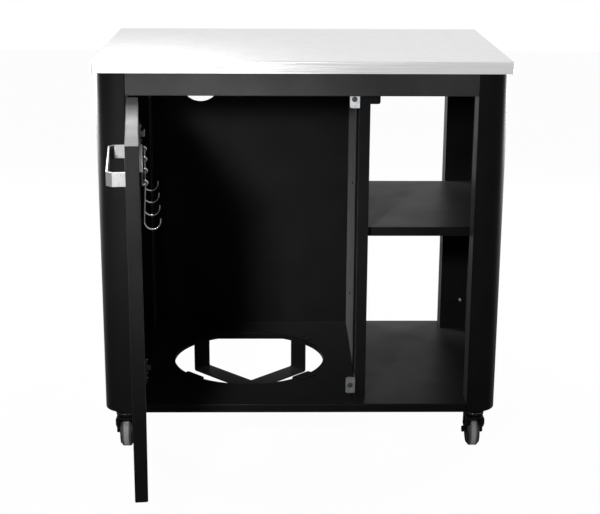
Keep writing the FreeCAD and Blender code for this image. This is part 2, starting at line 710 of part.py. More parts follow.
def make_door_leaf(name, level):
    """Plate on the door's inner face, with an ear above and below the knuckle."""
    body = new_body(name, on_door("0", "0", level))
    top = "liner_back + plate_thick"
    pad(body, "XY", "-hinge_height / 2", "hinge_height",
        [box("-knuckle_radius", "liner_back", "plate_length", top)])
    hole = ("0", "0", "pin_hole")
    for low in ("-hinge_height / 2", "hinge_height / 2 - ear_thick"):
        pad(body, "XY", low, "ear_thick", [box("-knuckle_radius", "0", "knuckle_radius", top)])
        pad(body, "XY", low, "ear_thick", circles=[("0", "0", "knuckle_radius")])
        cut(body, "XY", low, "ear_thick", circles=[hole])
    end = "(plate_length - housing_margin)"
    housing = box(end + " - housing_length", top, end, top + " + housing_depth")
    pad(body, "XY", "housing_rise", "housing_height", [housing])
    outer = number(top + " + housing_depth")
    rounded(body, "housing_round", lambda edge: close(edge.BoundBox.YMin, outer)
            and close(edge.BoundBox.YMax, outer))
    return finish(body)


def make_hinge_pin(name, level):
    body = new_body(name, on_door("0", "0", level))
    pad(body, "XY", "-hinge_height / 2", "hinge_height", circles=[("0", "0", "pin_radius")])
    return finish(body)


# ---- hook rail and hooks ------------------------------------------------------------------

def make_hook_rail():
    """Rod along the door's inner face, bent back to the face at both ends."""
    body = new_body("hook_rail", DOOR)
    wire, start, end = "rod_radius", "rod_left", "(rod_left + rod_length)"
    bend_y = "(rod_y - rod_bend)"
    pad(body, "YZ", start + " + rod_bend", "rod_length - 2 * rod_bend",
        circles=[("rod_y", "rod_z", wire)])
    for foot, centre, backwards in ((start, start + " + rod_bend", False),
                                    (end, end + " - rod_bend", True)):
        sketch = draw(body, "YZ", centre, circles=[("rod_bend", "rod_z", wire)],
                      shift=(bend_y, "0"))
        turned(body, sketch, angle=90, backwards=backwards)
        pad(body, "XZ", bend_y, "rod_reach - rod_bend", circles=[(foot, "rod_z", wire)])
    return finish(body)


def make_hook(name, place):
    """Hook whose closed, slightly thicker eye hangs round the rod, drawn about the rod's axis."""
    along_door = "rod_left + hook_inset + %d * hook_pitch" % place
    body = new_body(name, on_door(along_door, "rod_y", "rod_z", "-hook_tilt"))
    wire = "hook_wire"
    eye = draw(body, "XY", "0", circles=[("0", "-hook_loop", "eye_wire")])
    turned(body, eye, "H_Axis")
    pad(body, "XY", "-hook_stem", "hook_stem - hook_loop", circles=[("0", "0", wire)])
    bow = draw(body, "XY", "-hook_stem", circles=[("0", "-hook_bow", wire)],
               shift=("0", "hook_bow"))
    turned(body, bow, "H_Axis", 180)
    pad(body, "XY", "-hook_stem", "hook_tip", circles=[("0", "2 * hook_bow", wire)])
    return finish(body)


# ---- casters ------------------------------------------------------------------------------

def caster_frame(side, end, back="0", z="0"):
    """Place of a caster part; all wheels trail towards the cart's middle in Y."""
    return frame("%d * caster_x" % side, "%d * (caster_y - %s)" % (end, back), z)


def make_caster_head(name, side, end):
    """Bearing head: its stem goes up through the column's seat, its kingpin down into the fork."""
    body = new_body(name, caster_frame(side, end))
    king_top = "crown_bottom + king_head_thick"
    section = [("0", "crown_bottom"), ("king_head_radius", "crown_bottom"),
               ("king_head_radius", king_top), ("king_radius", king_top),
               ("king_radius", "head_bottom"), ("head_radius - head_edge", "head_bottom"),
               ("head_radius", "head_bottom + head_edge"), ("head_radius", "head_bottom + head_rim"),
               ("head_neck", "body_bottom"), ("stem_radius", "body_bottom"),
               ("stem_radius", "body_bottom + stem_length"), ("0", "body_bottom + stem_length")]
    turned(body, draw(body, "XZ", "0", [section]))
    return finish(body)


def leg_outline(end, edge, low):
    """Side view of the fork's legs, drawn in by an edge; the legs lean to the axle."""
    back, eye = "%d * trail" % -end, "(leg_end / 2 - %s)" % edge
    crown, top = "(crown_depth / 2 - %s)" % edge, "crown_top - %s" % edge
    shoulder = "crown_bottom - crown_skirt"
    return [("-" + crown, top), (crown, top), (crown, shoulder),
            ("%s + %s" % (back, eye), "wheel_radius"), ("%s + %s" % (back, eye), low),
            ("%s - %s" % (back, eye), low), ("%s - %s" % (back, eye), "wheel_radius"),
            ("-" + crown, shoulder)]


def make_caster_fork(name, side, end):
    """Pressed fork: crown round the kingpin, two flanged legs and the axle with its heads."""
    body = new_body(name, caster_frame(side, end))
    foot, knee, reach = "wheel_radius - leg_end / 2", "wheel_radius + knee_rise", "crown_depth"
    half = [("head_radius", "crown_top"), ("head_radius", knee), ("leg_out", foot),
            ("leg_in", foot), ("leg_in", "crown_bottom")]
    pad(body, "XZ", reach, "2 * " + reach, [half + [("-" + x, z) for x, z in reversed(half)]])
    around = box("-" + reach, foot + " - seam", reach, "crown_top + seam")
    cut(body, "YZ", "-head_radius", "2 * head_radius", [around, leg_outline(end, "0", foot)])
    edge_x, top = number("head_radius"), number("crown_top")
    rounded(body, "crown_round", lambda edge: mirrored_along(edge, "y", x=edge_x, z=top))
    for start in ("leg_out", "-head_radius"):
        cut(body, "YZ", start, "head_radius - leg_out",
            [leg_outline(end, "fork_sheet", "wheel_radius - axle_radius")])
    cut(body, "XY", "crown_bottom", "crown_thick", circles=[("0", "0", "king_radius + pin_play")])
    cut(body, "XY", "crown_bottom", "king_head_thick + swivel_play",
        circles=[("0", "0", "king_head_radius + swivel_play")])
    centre = ("%d * trail" % -end, "wheel_radius")
    pad(body, "YZ", "-leg_in", "fork_gap", circles=[(*centre, "axle_radius")])
    for start in ("leg_out", "-leg_out - axle_head_length"):
        pad(body, "YZ", start, "axle_head_length", circles=[(*centre, "axle_head_radius")])
    return finish(body)


def make_caster_hub(name, side, end):
    """Wheel body with a boss and dished sides."""
    body = new_body(name, caster_frame(side, end, "trail", "wheel_radius"))
    boss, disc, rim = "leg_in - hub_play", "disc_width / 2", "tread_width / 2"
    half = [(boss, "axle_radius + pin_play"), (boss, "hub_boss"), (disc, "hub_boss + hub_slope"),
            (disc, "hub_radius - hub_rim"), (rim, "hub_radius - hub_rim + hub_slope"),
            (rim, "hub_radius")]
    section = half + [("-(%s)" % x, z) for x, z in reversed(half)]
    turned(body, draw(body, "XZ", "0", [section]), "H_Axis")
    return finish(body)


def make_caster_tyre(name, side, end):
    """Solid tread with bevelled edges, on the hub's rim."""
    body = new_body(name, caster_frame(side, end, "trail", "wheel_radius"))
    rim = "tread_width / 2"
    half = [(rim, "hub_radius"), (rim, "wheel_radius - tyre_bevel"),
            (rim + " - tyre_bevel", "wheel_radius")]
    section = half + [("-(%s)" % x, z) for x, z in reversed(half)]
    turned(body, draw(body, "XZ", "0", [section]), "H_Axis")
    return finish(body)


# ---- the cart -----------------------------------------------------------------------------

def build():
    fill_sheet()
    make_worktop()
    group("worktop_stiffeners", [make_stiffener(-1), make_stiffener(1)])
    make_side_shell("side_shell_left", -1)
    make_side_shell("side_shell_right", 1)
    corners = [(depth + "_" + hand, side, end) for depth, end in (("front", -1), ("rear", 1))
               for hand, side in (("left", -1), ("right", 1))]
    for corner, side, end in corners:
        make_column_liner("column_liner_" + corner, side, end)
        make_caster_head("caster_head_" + corner, side, end)
        make_caster_fork("caster_fork_" + corner, side, end)
        make_caster_hub("caster_hub_" + corner, side, end)
        make_caster_tyre("caster_tyre_" + corner, side, end)
    for place, end in (("front", -1), ("rear", 1)):
        make_rail(place + "_rail", end)
        make_floor_channel("floor_channel_" + place, end)
    make_floor_tray()
    make_cradle_strap("cradle_strap_lower", "45", "0")
    make_cradle_strap("cradle_strap_upper", "-45", "strap_thick")
    make_back_panel()
    make_divider_panel()
    make_divider_cover()
    make_divider_post()
    group("post_brackets", [make_post_foot("post_foot"), make_post_tab("post_tab")])
    make_shelf()
    group("shelf_supports", [make_shelf_support("shelf_support_left", "divider_right", 1),
                             make_shelf_support("shelf_support_right", "skin_x", -1)])
    make_catch_bracket("catch_bracket_lower", "catch_low - catch_height / 2",
                       "catch_low + catch_height / 2")
    make_catch_bracket("catch_bracket_upper", "catch_high - catch_height / 2",
                       "rail_bottom - seam")
    group("catch_magnets", [make_magnet("magnet_low", "catch_low"),
                            make_magnet("magnet_high", "catch_high")])
    make_door_skin()
    make_door_liner()
    make_handle()
    make_handle_backing()
    for place, level in (("lower", "hinge_low"), ("upper", "hinge_high")):
        make_cabinet_leaf("hinge_cabinet_leaf_" + place, level)
        make_door_leaf("hinge_door_leaf_" + place, level)
        make_hinge_pin("hinge_pin_" + place, level)
    make_hook_rail()
    for place in range(4):
        make_hook("hook_%d" % (place + 1), place)
    doc.recompute()


def check():
    for item in doc.Objects:
        if "Invalid" in item.State or "Error" in item.State:
            raise RuntimeError("%s failed: %s" % (item.Label, item.State))
    for part in finished:
        if part.Shape.isNull() or not part.Shape.isValid():
            raise RuntimeError("%s has no valid shape" % part.Label)


def write():
    os.makedirs("parts", exist_ok=True)
    for part in finished:
        part.Shape.exportStep("parts/%s.step" % part.Label)
        print("%-28s %2d solids %10.1f mm3" % (part.Label, len(part.Shape.Solids), part.Shape.Volume))


build()
check()
write()
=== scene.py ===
# %% [markdown]
# A grill cart: a folded stainless worktop on a black powder-coated cupboard, with a hinged door on
# a gas bottle bay, open shelf bays beside it, and four swivel casters.  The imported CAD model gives
# every piece its size and place.  This lesson gives each piece the finish of the real material and
# adds the small fasteners that hold the sheets together.

# %% Load the frame
import bpy
import json
import math
from mathutils import Matrix, Vector

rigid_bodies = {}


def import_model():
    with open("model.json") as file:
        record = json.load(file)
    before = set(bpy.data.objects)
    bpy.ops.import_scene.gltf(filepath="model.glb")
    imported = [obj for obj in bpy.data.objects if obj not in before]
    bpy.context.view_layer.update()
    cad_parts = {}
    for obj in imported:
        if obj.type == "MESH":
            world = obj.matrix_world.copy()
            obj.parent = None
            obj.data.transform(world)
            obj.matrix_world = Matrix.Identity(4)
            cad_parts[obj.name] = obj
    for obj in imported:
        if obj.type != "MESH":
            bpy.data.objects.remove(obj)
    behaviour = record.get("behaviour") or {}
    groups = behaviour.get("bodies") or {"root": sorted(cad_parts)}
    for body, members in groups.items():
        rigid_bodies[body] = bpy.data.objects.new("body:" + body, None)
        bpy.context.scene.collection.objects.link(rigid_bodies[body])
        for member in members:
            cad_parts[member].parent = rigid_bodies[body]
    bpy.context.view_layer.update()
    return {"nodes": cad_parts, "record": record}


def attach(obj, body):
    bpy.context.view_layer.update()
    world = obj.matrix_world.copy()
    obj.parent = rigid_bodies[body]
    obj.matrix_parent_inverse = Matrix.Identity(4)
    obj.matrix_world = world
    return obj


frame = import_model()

MM = 0.001
nodes = frame["nodes"]
print("pieces in the frame:", len(nodes))

# %% [markdown]
# The camera stands in front of the cart, a little above the worktop, and looks slightly down.  It
# could be aimed with a Track To constraint, but a fixed matrix from yaw, pitch and roll is exact
# and easy to read.  A long lens keeps the columns almost upright, as a product shot does.

# %% Camera
YAW, PITCH, ROLL = 0.0186332, 0.2740163, 0.0056573
SENSOR_MM, FOCAL_MM, SHIFT_Y = 36, 80.885, -0.01806
eye = Vector((-0.0567667, -2.8928507, 1.2950373))
ahead = Vector((math.sin(YAW) * math.cos(PITCH), math.cos(YAW) * math.cos(PITCH),
                -math.sin(PITCH)))
level = Vector((math.cos(YAW), -math.sin(YAW), 0))
above = level.cross(ahead)
right = level * math.cos(ROLL) + above * math.sin(ROLL)
up = above * math.cos(ROLL) - level * math.sin(ROLL)
lens = bpy.data.cameras.new("shop_camera")
lens.sensor_width = SENSOR_MM
lens.lens = FOCAL_MM
lens.shift_y = SHIFT_Y
camera = bpy.data.objects.new("shop_camera", lens)
bpy.context.scene.collection.objects.link(camera)
camera.matrix_world = Matrix((
    (right.x, up.x, -ahead.x, eye.x), (right.y, up.y, -ahead.y, eye.y),
    (right.z, up.z, -ahead.z, eye.z), (0, 0, 0, 1)))
bpy.context.scene.camera = camera
bpy.context.scene.view_settings.view_transform = "Standard"
print("camera looks down by", round(math.degrees(PITCH), 1), "degrees")

# %% [markdown]
# Every material is a small tree of nodes.  One function adds a node together with its settings and
# its links, so a tree reads from top to bottom.  Another turns the sRGB hex values that paint
# charts give into the linear light that shaders work in.

# %% Node and colour helpers
def linear(hex_value):
    """Linear red, green, blue and alpha of an sRGB hex value."""
    shades = [int(hex_value[i:i + 2], 16) / 255 for i in (1, 3, 5)]
    return [s / 12.92 if s <= 0.04045 else ((s + 0.055) / 1.055) ** 2.4 for s in shades] + [1]


def add_node(tree, kind, settings=None, links=None):
    """Node with its input values or attributes set and its inputs linked."""
    made = tree.nodes.new(kind)
    for name, value in (settings or {}).items():
        if isinstance(name, int) or name in made.inputs:
            made.inputs[name].default_value = value
        else:
            setattr(made, name, value)
    for name, source in (links or {}).items():
        tree.links.new(source, made.inputs[name])
    return made


print("mid grey in linear light:", round(linear("#808080")[0], 3))

# %% [markdown]
# The studio is a plain white sweep.  The world shows pure white to the camera and in reflections,
# and lights the cart more gently than it looks, because a black cupboard would be washed out by a
# full white dome.  A small key lamp stands to the left, so that the open door throws a soft
# slanting shadow into the bay, and a gridded lamp beside it lifts the inside alone.  Low side lamps
# and one behind give the rolled corners and the back a gentle gradient.  A gridded lamp high at the
# back draws a bright line along the open door's top edge.

# %% World
WHITE, FILL_STRENGTH = (1, 1, 1, 1), 0.25


def looked_at(tree):
    """Two sockets: seen at all, also in a mirror or through glass, and seen by the camera."""
    sight = add_node(tree, "ShaderNodeLightPath")
    by_camera = sight.outputs["Is Camera Ray"]
    seen = by_camera
    for way in ("Is Glossy Ray", "Is Transmission Ray"):
        seen = add_node(tree, "ShaderNodeMath", {"operation": "MAXIMUM"},
                        {0: seen, 1: sight.outputs[way]}).outputs[0]
    return seen, by_camera


world = bpy.data.worlds.new("white_sweep")
bpy.context.scene.world = world
world.use_nodes = True
air = world.node_tree
air.nodes.clear()
seen = looked_at(air)[0]
fill_light = add_node(air, "ShaderNodeBackground", {"Color": WHITE, "Strength": FILL_STRENGTH})
backdrop = add_node(air, "ShaderNodeBackground", {"Color": WHITE, "Strength": 1})
blend = add_node(air, "ShaderNodeMixShader", {},
                 {0: seen, 1: fill_light.outputs[0], 2: backdrop.outputs[0]})
add_node(air, "ShaderNodeOutputWorld", {}, {"Surface": blend.outputs[0]})
print("world lights at", fill_light.inputs["Strength"].default_value)

# %% Lamps
def add_softbox(name, place, aim, width, height, power, spread=180):
    """Rectangular lamp in metres, watts and degrees, turned to face a point."""
    light = bpy.data.lights.new(name, "AREA")
    light.shape = "RECTANGLE"
    light.size, light.size_y, light.energy = width, height, power
    light.spread = math.radians(spread)
    lamp = bpy.data.objects.new(name, light)
    bpy.context.scene.collection.objects.link(lamp)
    lamp.location = place
    lamp.rotation_euler = (Vector(aim) - Vector(place)).to_track_quat("-Z", "Y").to_euler()
    lamp.visible_camera = False


KEY_PLACE, CART_MIDDLE = (-0.54, -1.8, 1.25), (0, 0.25, 0.5)
add_softbox("key_softbox", KEY_PLACE, (-0.2, 0, 0.7), 0.22, 0.22, 30)
add_softbox("bay_gridded_softbox", KEY_PLACE, (-0.07, 0.54, 0.27), 0.15, 0.15, 2.7, 28)
add_softbox("rear_softbox", (-0.3, 2.7, 2.2), CART_MIDDLE, 2.6, 0.6, 4)
for side, x in (("left", -2.2), ("right", 2.2)):
    add_softbox("side_softbox_" + side, (x, 1.9, 0.6), CART_MIDDLE, 0.9, 0.36, 110)
add_softbox("edge_gridded_softbox", (-0.55, 1.3, 2.3), (-0.35, -0.4, 0.825), 0.4, 0.4, 1.6, 30)

# %% [markdown]
# The floor is white to the camera.  In reflections it dims towards the cart, which stands in its
# own shade there, so that upright black sheets grow darker towards their feet.

# %% Floor
FLOOR_WIDTH, GLOW_SHARE = 14, 0.97
SHADE_NEAR, SHADE_FAR, SHADE_LOW = 1.0, 4.5, 0.05
bpy.ops.object.select_all(action="DESELECT")
bpy.ops.mesh.primitive_plane_add(size=FLOOR_WIDTH, location=(0, 0, 0))
floor = bpy.context.object
floor.name = "studio_floor"
floor_paint = bpy.data.materials.new("white_painted_floor")
floor_paint.use_nodes = True
tree = floor_paint.node_tree
tree.nodes.clear()
seen, by_camera = looked_at(tree)
share = add_node(tree, "ShaderNodeMath", {"operation": "MULTIPLY", 1: GLOW_SHARE}, {0: seen})
matt = add_node(tree, "ShaderNodeBsdfDiffuse", {"Color": (0.8, 0.8, 0.8, 1)})
spot = add_node(tree, "ShaderNodeTexCoord")
reach = add_node(tree, "ShaderNodeVectorMath", {"operation": "LENGTH"},
                 {0: spot.outputs["Object"]})
shaded = add_node(tree, "ShaderNodeMapRange", {1: SHADE_NEAR, 2: SHADE_FAR, 3: SHADE_LOW, 4: 1},
                  {0: reach.outputs["Value"]})
strength = add_node(tree, "ShaderNodeMath", {"operation": "MAXIMUM"},
                    {0: by_camera, 1: shaded.outputs[0]})
glow = add_node(tree, "ShaderNodeEmission", {"Color": WHITE}, {"Strength": strength.outputs[0]})
blend = add_node(tree, "ShaderNodeMixShader", {},
                 {0: share.outputs[0], 1: matt.outputs[0], 2: glow.outputs[0]})
add_node(tree, "ShaderNodeOutputMaterial", {}, {"Surface": blend.outputs[0]})
floor.data.materials.append(floor_paint)
print("floor is", round(floor.dimensions.x), "m wide")

# %% [markdown]
# A material starts as a Principled shader with the typical values of the real one.  The numbers
# that are the same all over the surface sit on the shader's own sockets, and only what varies over
# the surface is linked.  Most of it follows grain, a noise drawn at a real size in millimetres: the
# colour drifts between two close shades, the roughness moves through a range, and fine bumps rise.

# %% Start of a material
NOISE_LOW, NOISE_HIGH = 0.3, 0.7


def start_material(name, colour, metallic, roughness, more=None):
    """New material, its tree and its Principled shader."""
    material = bpy.data.materials.new(name)
    material.use_nodes = True
    tree = material.node_tree
    tree.nodes.clear()
    settings = {"Base Color": linear(colour), "Metallic": metallic, "Roughness": roughness}
    shader = add_node(tree, "ShaderNodeBsdfPrincipled", {**settings, **(more or {})})
    add_node(tree, "ShaderNodeOutputMaterial", {}, {"Surface": shader.outputs[0]})
    return material, tree, shader


def grain(tree, size_mm, detail, stretch=(1, 1, 1)):
    """Noise whose cells are about size_mm across, drawn out along an axis by stretch."""
    place = add_node(tree, "ShaderNodeTexCoord")
    scale = [1 / (size_mm * MM * s) for s in stretch]
    spread = add_node(tree, "ShaderNodeMapping", {"Scale": scale},
                      {"Vector": place.outputs["Object"]})
    return add_node(tree, "ShaderNodeTexNoise", {"Scale": 1, "Detail": detail},
                    {"Vector": spread.outputs[0]}).outputs[0]


def lay_skin(tree, shader, colour, gloss=None, relief=None):
    """Link a surface's colour, roughness and relief, each to a pattern and two values.

    The values are the darkest and lightest shade, the lowest and highest roughness, and the
    height in mm and strength of the bumps.
    """
    source, dark, light = colour
    ramp = add_node(tree, "ShaderNodeValToRGB", {}, {0: source})
    first, last = ramp.color_ramp.elements
    first.position, last.position = NOISE_LOW, NOISE_HIGH
    first.color, last.color = linear(dark), linear(light)
    tree.links.new(ramp.outputs[0], shader.inputs["Base Color"])
    if gloss:
        source, low, high = gloss
        spread = add_node(tree, "ShaderNodeMapRange",
                          {1: NOISE_LOW, 2: NOISE_HIGH, 3: low, 4: high}, {0: source})
        tree.links.new(spread.outputs[0], shader.inputs["Roughness"])
    if relief:
        source, height_mm, strength = relief
        bump = add_node(tree, "ShaderNodeBump",
                        {"Strength": strength, "Distance": height_mm * MM}, {"Height": source})
        tree.links.new(bump.outputs[0], shader.inputs["Normal"])


print("material helpers ready")

# %% [markdown]
# Black powder coat on mild steel: dry powder is sprayed on and baked, and it flows to a satin skin
# with a faint orange peel, waves about 3 mm apart and a few hundredths of a millimetre high.  That
# breaks up reflections just enough to look soft.  A slow drift of gloss keeps a large sheet from
# looking like plastic.  The waves are drawn a little higher than they are, so that they show.  A
# matt black coat reflects little straight on, so its specular level is low, and a trace of sheen
# brings back the grey bloom that its fine skin shows at a shallow angle, as on the shelf.

# %% Black powder coat
def powder_coat(name, dark, light, gloss):
    material, tree, shader = start_material(name, dark, 0, gloss, {
        "Specular IOR Level": 0.04, "Sheen Weight": 0.07, "Sheen Roughness": 0.3})
    peel = grain(tree, 3.0, 1)
    patches = grain(tree, 70, 3)
    lay_skin(tree, shader, (patches, dark, light), (patches, gloss - 0.03, gloss + 0.04),
             (peel, 0.05, 0.5))
    return material


black_coat = powder_coat("black_powder_coated_steel", "#0a0a0a", "#0d0d0e", 0.42)
# The rail takes a copy of the black coat painted several times lighter: painted light, for the light
# that falls on its front face.
rail_coat_painted_light = powder_coat("black_coat_for_rail_painted_light", "#29292a", "#2f2f30", 0.45)
print("powder coats:", black_coat.name, rail_coat_painted_light.name)

# %% [markdown]
# Brushed stainless steel, grade 304: an abrasive belt has been run along the sheet, which leaves
# hair-fine scratches one way.  The belt's grit gives lines 0.2 mm apart, drawn 0.8 mm apart here
# because the real ones are finer than a pixel.  A metal keeps the default IOR; the lines vary only
# roughness, shade and a very small relief.

# %% Brushed stainless steel
def brushed_steel(name, dark, light, gloss, stretch):
    material, tree, shader = start_material(name, light, 1, gloss)
    lines = grain(tree, 0.8, 2, stretch)
    lay_skin(tree, shader, (lines, dark, light), (lines, gloss - 0.05, gloss + 0.08),
             (lines, 0.01, 0.4))
    return material


ALONG_X, ALONG_Y = (150, 1, 1), (1, 150, 1)
worktop_steel = brushed_steel("brushed_stainless_steel", "#c6c6c6", "#d2d2d2", 0.25, ALONG_X)
handle_steel = brushed_steel("brushed_stainless_strip", "#8c8c8c", "#a0a0a0", 0.3, ALONG_Y)
print("brushed steels:", worktop_steel.name, handle_steel.name)

# %% [markdown]
# Hot-dip galvanised steel cools into flat zinc crystals, called spangle, about 8 mm across and each
# a slightly different grey.  A Voronoi pattern has just that look: flat cells with crisp borders.

# %% Galvanised steel
SPANGLE_SIZE = 8
galvanised, tree, shader = start_material("galvanised_sheet_steel", "#a9adb0", 1, 0.45)
place = add_node(tree, "ShaderNodeTexCoord")
spangle = add_node(tree, "ShaderNodeTexVoronoi", {"Scale": 1 / (SPANGLE_SIZE * MM)},
                   {"Vector": place.outputs["Object"]})
crystal = add_node(tree, "ShaderNodeSeparateColor", {}, {0: spangle.outputs["Color"]})
lay_skin(tree, shader, (crystal.outputs[0], "#9ea2a5", "#b9bcbe"),
         (crystal.outputs[1], 0.38, 0.52))
print("spangle", SPANGLE_SIZE, "mm across")

# %% [markdown]
# Bright zinc plating covers the catch brackets: a thin electroplated coat, silvery and slightly
# cloudy.  The hinges, their screws and the casters' seal rings take a copy of that zinc painted
# much darker, which is painted shade.  The hooks and their rail are nickel-chrome plated wire,
# polished before plating, so they mirror the room with only a trace of cloud, and their colour is
# painted darker than bright chrome: painted shade in what they mirror.

# %% Zinc and chrome plate
def plated(name, dark, light, gloss, cloud_mm):
    material, tree, shader = start_material(name, light, 1, gloss)
    clouds = grain(tree, cloud_mm, 3)
    lay_skin(tree, shader, (clouds, dark, light), (clouds, gloss - 0.03, gloss + 0.07))
    return material


zinc = plated("bright_zinc_plated_steel", "#b0b3b6", "#c0c3c5", 0.3, 6)
# The hinges' zinc is painted much darker than the brackets': painted shade.
hinge_zinc_painted_dark = plated("zinc_hinge_steel_painted_dark", "#56595b", "#6a6d6f", 0.22, 5)
# The hooks' chrome is painted darker than bright chrome: painted shade in what they mirror.
chrome = plated("chrome_wire_painted_dark", "#8e9092", "#9ea0a1", 0.13, 4)
print("plated metals:", zinc.name, hinge_zinc_painted_dark.name, chrome.name)

# %% [markdown]
# The casters mix three materials: heads and forks pressed from steel and dipped in black
# electrocoat, hubs moulded in black polypropylene, and treads of grey thermoplastic rubber.  Rubber
# and plastic are told apart by roughness: the moulding keeps a low gloss, and the tread is dull.
# The catches' ferrite magnets are pressed black ceramic, smooth but finely pitted.

# %% Caster materials and magnets
def moulded(name, dark, light, gloss, grain_mm, height_mm, specular=0.5):
    material, tree, shader = start_material(name, dark, 0, gloss, {"Specular IOR Level": specular})
    texture = grain(tree, grain_mm, 2)
    lay_skin(tree, shader, (texture, dark, light), (texture, gloss - 0.05, gloss + 0.05),
             (texture, height_mm, 0.5))
    return material


fork_black = moulded("black_electrocoated_fork", "#0a0a0b", "#111112", 0.34, 2, 0.02, 0.07)
hub_black = moulded("black_polypropylene_hub", "#0d0d0e", "#131314", 0.45, 1, 0.02, 0.2)
magnet_black = moulded("black_ferrite_magnet", "#1c1c1d", "#262627", 0.35, 0.8, 0.03)
print("blacks:", fork_black.name, hub_black.name, magnet_black.name)

# %% [markdown]
# The treads are the one piece with a pattern that follows the shape: each is painted pale along
# the middle and dark on its rounded shoulders, which is painted light and painted shade.  The
# distance from the middle plane of a wheel comes from Object X, which is 400 mm on either side of
# the cart, and a fine noise frays the border.

# %% Grey rubber tread
WHEEL_X = 400
PALE_MIDDLE_NEAR, PALE_MIDDLE_FAR, PALE_BORDER_FRAY = 4, 10, 3
tread_grey, tree, shader = start_material("grey_rubber_tread", "#747474", 0, 0.75)
place = add_node(tree, "ShaderNodeTexCoord")
across = add_node(tree, "ShaderNodeSeparateXYZ", {}, {0: place.outputs["Object"]})
off = add_node(tree, "ShaderNodeMath", {"operation": "ABSOLUTE"}, {0: across.outputs["X"]})
off = add_node(tree, "ShaderNodeMath", {"operation": "SUBTRACT", 1: WHEEL_X * MM},
               {0: off.outputs[0]})
off = add_node(tree, "ShaderNodeMath", {"operation": "ABSOLUTE"}, {0: off.outputs[0]})
tread_grain = grain(tree, 1.2, 2)
frayed = add_node(tree, "ShaderNodeMath", {"operation": "MULTIPLY_ADD", 1: PALE_BORDER_FRAY * MM},
                  {0: tread_grain, 2: off.outputs[0]})
# Painted light along the middle of the tread and painted shade on its rounded shoulders.
painted_light_and_shade = add_node(tree, "ShaderNodeMapRange", {1: PALE_MIDDLE_NEAR * MM, 2: PALE_MIDDLE_FAR * MM, 3: 1, 4: 0},
                {0: frayed.outputs[0]})
lay_skin(tree, shader, (painted_light_and_shade.outputs[0], "#2c2c2c", "#747474"), relief=(tread_grain, 0.05, 0.5))
print("tread painted_pale within", PALE_MIDDLE_NEAR, "mm of its middle")

# %% Give every CAD piece its material
finishes = {
    "black_powder_coat": black_coat, "black_powder_coat_rail": rail_coat_painted_light,
    "brushed_stainless": worktop_steel, "galvanised_steel": galvanised, "zinc_steel": zinc,
    "bright_steel": chrome, "magnet_black": magnet_black, "caster_black": fork_black,
    "wheel_black": hub_black, "grey_tread": tread_grey,
}
for part in frame["record"]["subparts"]:
    piece = nodes[part["node"]]
    piece.data.materials.clear()
    piece.data.materials.append(finishes[part["material_slot"]])
nodes["door_handle"].data.materials[0] = handle_steel
# The hinges take the zinc painted dark, which is painted shade.
for name in nodes:
    if name.startswith("hinge_"):
        nodes[name].data.materials[0] = hinge_zinc_painted_dark

# %% [markdown]
# The sheets are held together by small fasteners.  A button-head screw is a low dome with a hexagon
# socket: a short cylinder, its top rim bevelled round, and the socket cut by a six-sided cutter.
# It is modelled once, upright at the origin, and each copy gets its own mesh, laid down where it is
# driven.  All the sizes and places below are in millimetres.

# %% Helpers for modelling
import bmesh

SMOOTH_ANGLE = math.radians(35)


def pick_edges(piece, wanted):
    """Edit mode with the edges whose two ends pass a test selected."""
    bpy.ops.object.mode_set(mode="EDIT")
    bpy.ops.mesh.select_mode(type="EDGE")
    bpy.ops.mesh.select_all(action="DESELECT")
    mesh = bmesh.from_edit_mesh(piece.data)
    for edge in mesh.edges:
        edge.select_set(all(wanted(corner.co) for corner in edge.verts))
    mesh.select_flush_mode()
    bmesh.update_edit_mesh(piece.data)


def cut_with(piece, cutter):
    """Cut a shape out of a piece and drop the cutter."""
    cut = piece.modifiers.new("cut", "BOOLEAN")
    cut.object, cut.operation, cut.solver = cutter, "DIFFERENCE", "EXACT"
    bpy.context.view_layer.objects.active = piece
    bpy.ops.object.modifier_apply(modifier="cut")
    bpy.data.objects.remove(cutter)


def finished(piece, name, body, material):
    """Name, material and smooth curves for a piece, which rides on a body."""
    piece.name = name
    piece.data.materials.clear()
    piece.data.materials.append(material)
    bpy.ops.object.select_all(action="DESELECT")
    piece.select_set(True)
    bpy.context.view_layer.objects.active = piece
    bpy.ops.object.shade_smooth_by_angle(angle=SMOOTH_ANGLE)
    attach(piece, body)


def driven(source, name, place, along, body, material):
    """Copy of a fastener with its own mesh, its foot at a place and its head facing along."""
    copied = source.copy()
    copied.data = source.data.copy()
    bpy.context.scene.collection.objects.link(copied)
    turn = Vector(along).to_track_quat("Z", "Y").to_matrix().to_4x4()
    copied.data.transform(Matrix.Translation(Vector(place) * MM) @ turn)
    finished(copied, name, body, material)


print("modelling helpers ready")

# %% Button-head screws on the cradle's tabs
ROUND_SIDES, HEXAGON = 36, 6
BUTTON_RADIUS, BUTTON_HEIGHT, BUTTON_ROUNDING = 4.5, 2.4, 1.8
SOCKET_RADIUS, SOCKET_CUTTER = 1.45, 2
TAB_X, TAB_Y, TAB_TOP = (-261.95, 15.95), (132.12, 410.02), 123


def bar_piece(sides, radius, height, middle=0):
    """Upright length of round or hexagon bar whose middle is at a height."""
    bpy.ops.object.select_all(action="DESELECT")
    bpy.ops.mesh.primitive_cylinder_add(vertices=sides, radius=radius * MM, depth=height * MM,
                                        location=(0, 0, middle * MM))
    return bpy.context.object


def round_blank(radius, height, rounding):
    """Round piece that stands on the origin, its top rim rounded over."""
    blank = bar_piece(ROUND_SIDES, radius, height, height / 2)
    bpy.ops.object.transform_apply(location=True, rotation=False, scale=False)
    pick_edges(blank, lambda corner: corner.z > height * MM * 0.99)
    bpy.ops.mesh.bevel(offset=rounding * MM, segments=4, profile=0.5)
    bpy.ops.object.mode_set(mode="OBJECT")
    return blank


